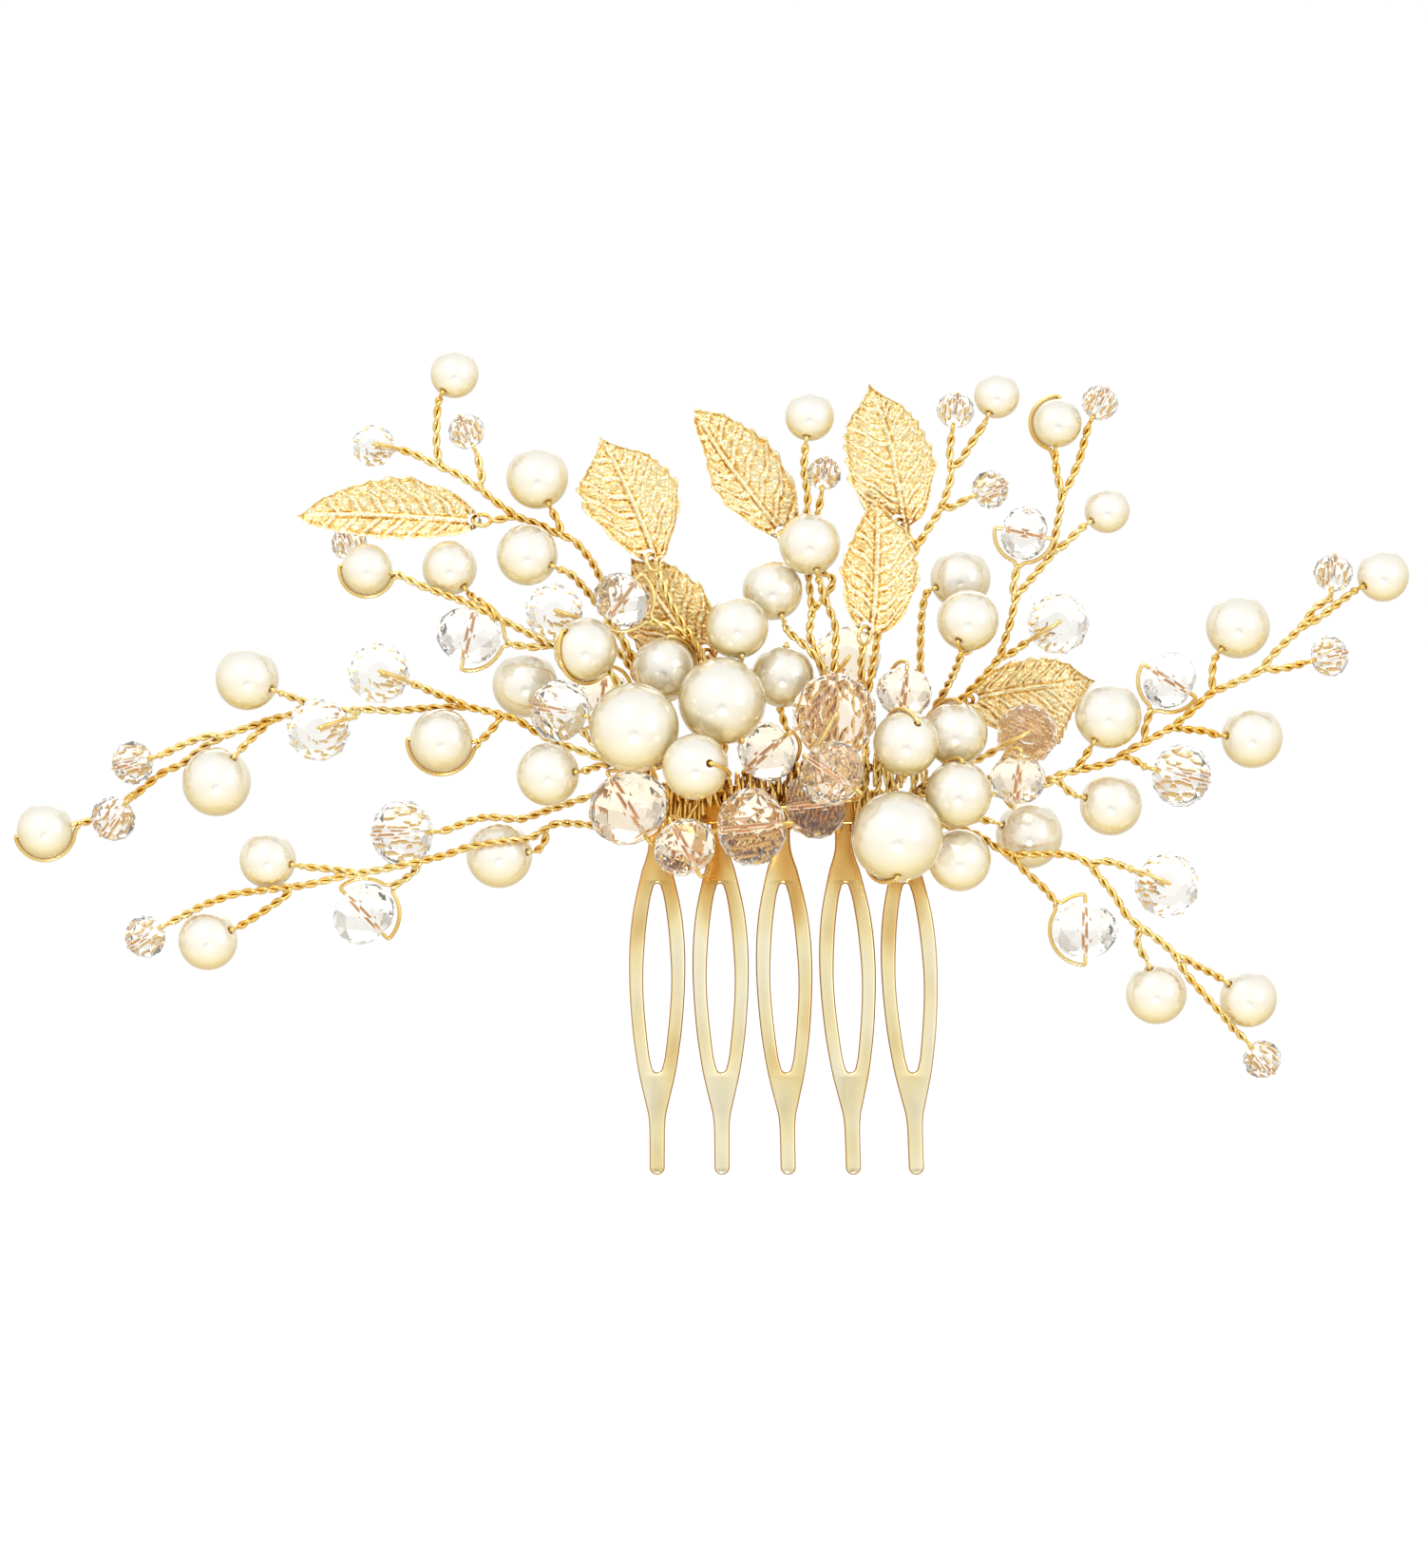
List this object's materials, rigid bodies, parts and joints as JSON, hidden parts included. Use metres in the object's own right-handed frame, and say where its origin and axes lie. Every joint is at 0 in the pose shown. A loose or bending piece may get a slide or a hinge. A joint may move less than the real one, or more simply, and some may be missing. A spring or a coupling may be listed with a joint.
{
  "type": "decorative hair comb",
  "caption": "Decorative hair comb with open looped teeth and wire sprays of pearls, faceted beads and hanging leaves.",
  "frame": {"origin": "middle of the comb's spine, in the plane of the sheet", "axes": "+X along the spine, +Z from the teeth to the sprays, -Y the decorated front"},
  "size_m": [0.1238, 0.0199, 0.0731],
  "materials": {
    "comb_gold": "polished pale gold plating",
    "wire_gold": "bright gold-coloured wire",
    "leaf_gold": "stamped, satin gold plating",
    "pearl": "pearl lacquer, ivory",
    "crystal": "clear, faceted"
  },
  "bodies": {
    "root": {"comb": "comb_gold", "spine_binding": "wire_gold", "trunk_wires": "wire_gold", "inner_pearls": "pearl", "inner_crystals": "crystal"},
    "spray_upper_left": {"spray_upper_left_wires": "wire_gold", "spray_upper_left_pearls": "pearl", "spray_upper_left_crystals": "crystal"},
    "spray_mid_left": {"spray_mid_left_wires": "wire_gold", "spray_mid_left_pearls": "pearl", "spray_mid_left_crystals": "crystal"},
    "spray_low_left": {"spray_low_left_wires": "wire_gold", "spray_low_left_pearls": "pearl", "spray_low_left_crystals": "crystal"},
    "spray_top": {"spray_top_wires": "wire_gold", "spray_top_pearls": "pearl", "spray_top_crystals": "crystal"},
    "spray_top_mid": {"spray_top_mid_wires": "wire_gold", "spray_top_mid_pearls": "pearl", "spray_top_mid_crystals": "crystal"},
    "spray_upper_right": {"spray_upper_right_wires": "wire_gold", "spray_upper_right_pearls": "pearl", "spray_upper_right_crystals": "crystal"},
    "spray_right": {"spray_right_wires": "wire_gold", "spray_right_pearls": "pearl", "spray_right_crystals": "crystal"},
    "spray_low_right": {"spray_low_right_wires": "wire_gold", "spray_low_right_pearls": "pearl", "spray_low_right_crystals": "crystal"},
    "leaf_1": {"leaf_1": "leaf_gold"},
    "leaf_2": {"leaf_2": "leaf_gold"},
    "leaf_3": {"leaf_3": "leaf_gold"},
    "leaf_4": {"leaf_4": "leaf_gold"},
    "leaf_5": {"leaf_5": "leaf_gold"},
    "leaf_6": {"leaf_6": "leaf_gold"},
    "leaf_7": {"leaf_7": "leaf_gold"},
    "cluster_pearl_01": {"cluster_pearl_01": "pearl"},
    "cluster_pearl_02": {"cluster_pearl_02": "pearl"},
    "cluster_pearl_03": {"cluster_pearl_03": "pearl"},
    "cluster_pearl_04": {"cluster_pearl_04": "pearl"},
    "cluster_pearl_05": {"cluster_pearl_05": "pearl"},
    "cluster_pearl_06": {"cluster_pearl_06": "pearl"},
    "cluster_pearl_07": {"cluster_pearl_07": "pearl"},
    "cluster_pearl_08": {"cluster_pearl_08": "pearl"},
    "cluster_pearl_09": {"cluster_pearl_09": "pearl"},
    "cluster_pearl_10": {"cluster_pearl_10": "pearl"},
    "cluster_crystal_01": {"cluster_crystal_01": "crystal"},
    "cluster_crystal_02": {"cluster_crystal_02": "crystal"},
    "cluster_crystal_03": {"cluster_crystal_03": "crystal"},
    "cluster_crystal_04": {"cluster_crystal_04": "crystal"},
    "cluster_crystal_05": {"cluster_crystal_05": "crystal"},
    "cluster_crystal_06": {"cluster_crystal_06": "crystal"},
    "cluster_crystal_07": {"cluster_crystal_07": "crystal"},
    "cluster_crystal_08": {"cluster_crystal_08": "crystal"},
    "cluster_crystal_09": {"cluster_crystal_09": "crystal"},
    "cluster_crystal_10": {"cluster_crystal_10": "crystal"},
    "cluster_crystal_11": {"cluster_crystal_11": "crystal"},
    "cluster_crystal_12": {"cluster_crystal_12": "crystal"}
  },
  "joints": [
    {"name": "bend_upper_left", "type": "hinge", "parent": "root", "child": "spray_upper_left", "pos_m": [-0.0187, -0.00215, 0.01951], "axis": [0, 0, 1], "range_deg": [-6, 6], "stiffness_Nm_per_rad": 0.002},
    {"name": "bend_mid_left", "type": "hinge", "parent": "root", "child": "spray_mid_left", "pos_m": [-0.02355, -0.0022, 0.00786], "axis": [0, 0, 1], "range_deg": [-6, 6], "stiffness_Nm_per_rad": 0.002},
    {"name": "bend_low_left", "type": "hinge", "parent": "root", "child": "spray_low_left", "pos_m": [-0.02013, -0.00255, -0.00075], "axis": [0, 0, 1], "range_deg": [-6, 6], "stiffness_Nm_per_rad": 0.002},
    {"name": "bend_top", "type": "hinge", "parent": "root", "child": "spray_top", "pos_m": [0.00261, -0.00224, 0.01551], "axis": [1, 0, 0], "range_deg": [-6, 6], "stiffness_Nm_per_rad": 0.002},
    {"name": "bend_top_mid", "type": "hinge", "parent": "root", "child": "spray_top_mid", "pos_m": [0.00892, -0.0018, 0.01802], "axis": [0.8662, 0, -0.4997], "range_deg": [-6, 6], "stiffness_Nm_per_rad": 0.002},
    {"name": "bend_upper_right", "type": "hinge", "parent": "root", "child": "spray_upper_right", "pos_m": [0.01823, -0.0024, 0.01198], "axis": [0.7809, 0, -0.6247], "range_deg": [-6, 6], "stiffness_Nm_per_rad": 0.002},
    {"name": "bend_right", "type": "hinge", "parent": "root", "child": "spray_right", "pos_m": [0.02439, -0.00364, 0.00263], "axis": [0, 0, 1], "range_deg": [-6, 2], "stiffness_Nm_per_rad": 0.002},
    {"name": "bend_low_right", "type": "hinge", "parent": "root", "child": "spray_low_right", "pos_m": [0.01944, -0.004, -0.0038], "axis": [0, 0, 1], "range_deg": [-6, 6], "stiffness_Nm_per_rad": 0.002},
    {"name": "leaf_1_swing", "type": "hinge", "parent": "root", "child": "leaf_1", "pos_m": [-0.01176, -0.0026, 0.02244], "axis": [0, 1, 0], "range_deg": [-4, 12]},
    {"name": "leaf_2_swing", "type": "hinge", "parent": "root", "child": "leaf_2", "pos_m": [-0.00681, 0.0013, 0.01403], "axis": [0, 1, 0], "range_deg": [-12, 12]},
    {"name": "leaf_3_swing", "type": "hinge", "parent": "root", "child": "leaf_3", "pos_m": [0.00739, -0.0037, 0.01605], "axis": [0, 1, 0], "range_deg": [-4, 12]},
    {"name": "leaf_4_swing", "type": "hinge", "parent": "root", "child": "leaf_4", "pos_m": [0.01706, 0.0023, 0.00975], "axis": [0, 1, 0], "range_deg": [-12, 8]},
    {"name": "leaf_5_swing", "type": "hinge", "parent": "spray_upper_left", "child": "leaf_5", "pos_m": [-0.02739, -0.0017, 0.02555], "axis": [0, 1, 0], "range_deg": [-4, 8]},
    {"name": "leaf_6_swing", "type": "hinge", "parent": "spray_top", "child": "leaf_6", "pos_m": [-0.00008, 0.0005, 0.02454], "axis": [0, 1, 0], "range_deg": [-12, 12]},
    {"name": "leaf_7_swing", "type": "hinge", "parent": "spray_top_mid", "child": "leaf_7", "pos_m": [0.01025, -0.001, 0.02555], "axis": [0, 1, 0], "range_deg": [-4, 12]},
    {"name": "spin_pearl_01", "type": "hinge", "parent": "root", "child": "cluster_pearl_01", "pos_m": [-0.01303, -0.00867, 0.00706], "axis": [0.4521, -0.2231, -0.8636], "continuous": true},
    {"name": "spin_pearl_02", "type": "hinge", "parent": "root", "child": "cluster_pearl_02", "pos_m": [-0.01042, -0.0025, 0.01231], "axis": [-0.108, 0.2778, -0.9545], "continuous": true},
    {"name": "spin_pearl_03", "type": "hinge", "parent": "root", "child": "cluster_pearl_03", "pos_m": [-0.00765, -0.01188, 0.00361], "axis": [-0.453, 0.8858, -0.1007], "continuous": true},
    {"name": "spin_pearl_04", "type": "hinge", "parent": "root", "child": "cluster_pearl_04", "pos_m": [-0.00529, -0.00685, 0.00941], "axis": [0.4521, -0.2231, -0.8636], "continuous": true},
    {"name": "spin_pearl_05", "type": "hinge", "parent": "root", "child": "cluster_pearl_05", "pos_m": [0.00008, -0.00202, 0.01164], "axis": [-0.108, 0.2778, -0.9545], "continuous": true},
    {"name": "spin_pearl_06", "type": "hinge", "parent": "root", "child": "cluster_pearl_06", "pos_m": [0.01008, -0.01026, -0.00252], "axis": [0, 0.5026, 0.8645], "continuous": true},
    {"name": "spin_pearl_07", "type": "hinge", "parent": "root", "child": "cluster_pearl_07", "pos_m": [0.0109, -0.00805, 0.00568], "axis": [-0.3505, 0.7011, -0.621], "continuous": true},
    {"name": "spin_pearl_08", "type": "hinge", "parent": "root", "child": "cluster_pearl_08", "pos_m": [0.01538, -0.0035, 0.00656], "axis": [-0.108, 0.2778, -0.9545], "continuous": true},
    {"name": "spin_pearl_09", "type": "hinge", "parent": "root", "child": "cluster_pearl_09", "pos_m": [0.01555, -0.00724, 0.00122], "axis": [-0.108, 0.2778, -0.9545], "continuous": true},
    {"name": "spin_pearl_10", "type": "hinge", "parent": "root", "child": "cluster_pearl_10", "pos_m": [0.01571, -0.005, -0.00462], "axis": [-0.9138, -0.4061, 0], "continuous": true},
    {"name": "spin_crystal_01", "type": "hinge", "parent": "root", "child": "cluster_crystal_01", "pos_m": [-0.01588, -0.00051, 0.01], "axis": [-0.108, 0.2778, -0.9545], "continuous": true},
    {"name": "spin_crystal_02", "type": "hinge", "parent": "root", "child": "cluster_crystal_02", "pos_m": [-0.01356, -0.00515, 0], "axis": [0.5038, -0.2519, -0.8263], "continuous": true},
    {"name": "spin_crystal_03", "type": "hinge", "parent": "root", "child": "cluster_crystal_03", "pos_m": [-0.00857, -0.01065, -0.00345], "axis": [-0.4581, 0.2036, 0.8653], "continuous": true},
    {"name": "spin_crystal_04", "type": "hinge", "parent": "root", "child": "cluster_crystal_04", "pos_m": [-0.00269, -0.00812, -0.00168], "axis": [0.9734, -0.2049, 0.1025], "continuous": true},
    {"name": "spin_crystal_05", "type": "hinge", "parent": "root", "child": "cluster_crystal_05", "pos_m": [-0.00135, -0.0032, 0.00496], "axis": [-0.722, 0.3094, -0.6189], "continuous": true},
    {"name": "spin_crystal_06", "type": "hinge", "parent": "root", "child": "cluster_crystal_06", "pos_m": [0.00302, -0.00465, 0.00034], "axis": [-0.9879, 0.1098, -0.1098], "continuous": true},
    {"name": "spin_crystal_07", "type": "hinge", "parent": "root", "child": "cluster_crystal_07", "pos_m": [0.00437, -0.01098, 0.00302], "axis": [-0.7756, 0.362, 0.5171], "continuous": true},
    {"name": "spin_crystal_08", "type": "hinge", "parent": "root", "child": "cluster_crystal_08", "pos_m": [0.00462, -0.00595, 0.00815], "axis": [-0.0499, 0.9975, -0.0499], "continuous": true},
    {"name": "spin_crystal_09", "type": "hinge", "parent": "root", "child": "cluster_crystal_09", "pos_m": [0.00588, 0.0015, 0.01328], "axis": [-0.0499, 0.9975, -0.0499], "continuous": true},
    {"name": "spin_crystal_10", "type": "hinge", "parent": "root", "child": "cluster_crystal_10", "pos_m": [0.01084, -0.003, 0.01025], "axis": [-0.108, 0.2778, -0.9545], "continuous": true},
    {"name": "spin_crystal_11", "type": "hinge", "parent": "root", "child": "cluster_crystal_11", "pos_m": [0.02084, -0.00538, 0.00252], "axis": [-0.108, 0.2778, -0.9545], "continuous": true},
    {"name": "spin_crystal_12", "type": "hinge", "parent": "root", "child": "cluster_crystal_12", "pos_m": [0.02176, -0.00161, 0.00656], "axis": [-0.0499, 0.9975, -0.0499], "continuous": true}
  ]
}
